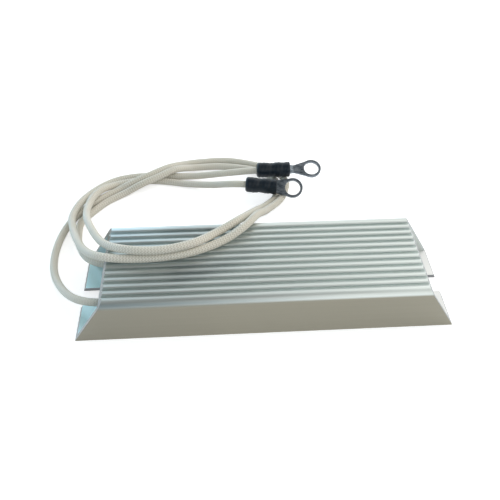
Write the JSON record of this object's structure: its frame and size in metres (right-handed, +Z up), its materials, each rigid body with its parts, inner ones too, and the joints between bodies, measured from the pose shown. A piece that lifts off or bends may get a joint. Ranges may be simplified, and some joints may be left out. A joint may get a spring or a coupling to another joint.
{
  "type": "aluminium housed power resistor",
  "caption": "Finned aluminium housing with oblique ends and open base slots, potted wound elements, and two sleeved leads with ring terminals.",
  "frame": {"origin": "centre of the housing's underside", "axes": "+X along the housing away from the lead end, +Y across the housing towards the side where the leads lie, +Z up from the mounting face"},
  "size_m": [0.2382, 0.1587, 0.0396],
  "materials": {
    "housing_aluminium": "satin, as extruded, with fine lines along the length",
    "cement": "matt, cast",
    "steatite": "matt",
    "resistance_alloy": "drawn wire",
    "mica": "satin sheet",
    "tinned_copper": "bright tin plate",
    "copper": "stranded wire",
    "glass_braid": "braided glass-fibre sleeve, cream white",
    "boot_black": "satin black shrink tube"
  },
  "bodies": {
    "root": {"housing": "housing_aluminium", "cement_fill": "cement", "former_front": "steatite", "former_rear": "steatite", "winding_front": "resistance_alloy", "winding_rear": "resistance_alloy", "link_strip": "copper", "mica_top": "mica", "mica_bottom": "mica", "mica_divider": "mica", "crimp_ferrule_front": "tinned_copper", "crimp_ferrule_rear": "tinned_copper", "conductor_root_front": "copper", "conductor_root_rear": "copper", "lead_front": "glass_braid", "lead_rear": "glass_braid", "conductor_tip_front": "copper", "conductor_tip_rear": "copper", "ring_terminal_front": "tinned_copper", "ring_terminal_rear": "tinned_copper", "terminal_boot_front": "boot_black", "terminal_boot_rear": "boot_black"}
  },
  "joints": []
}
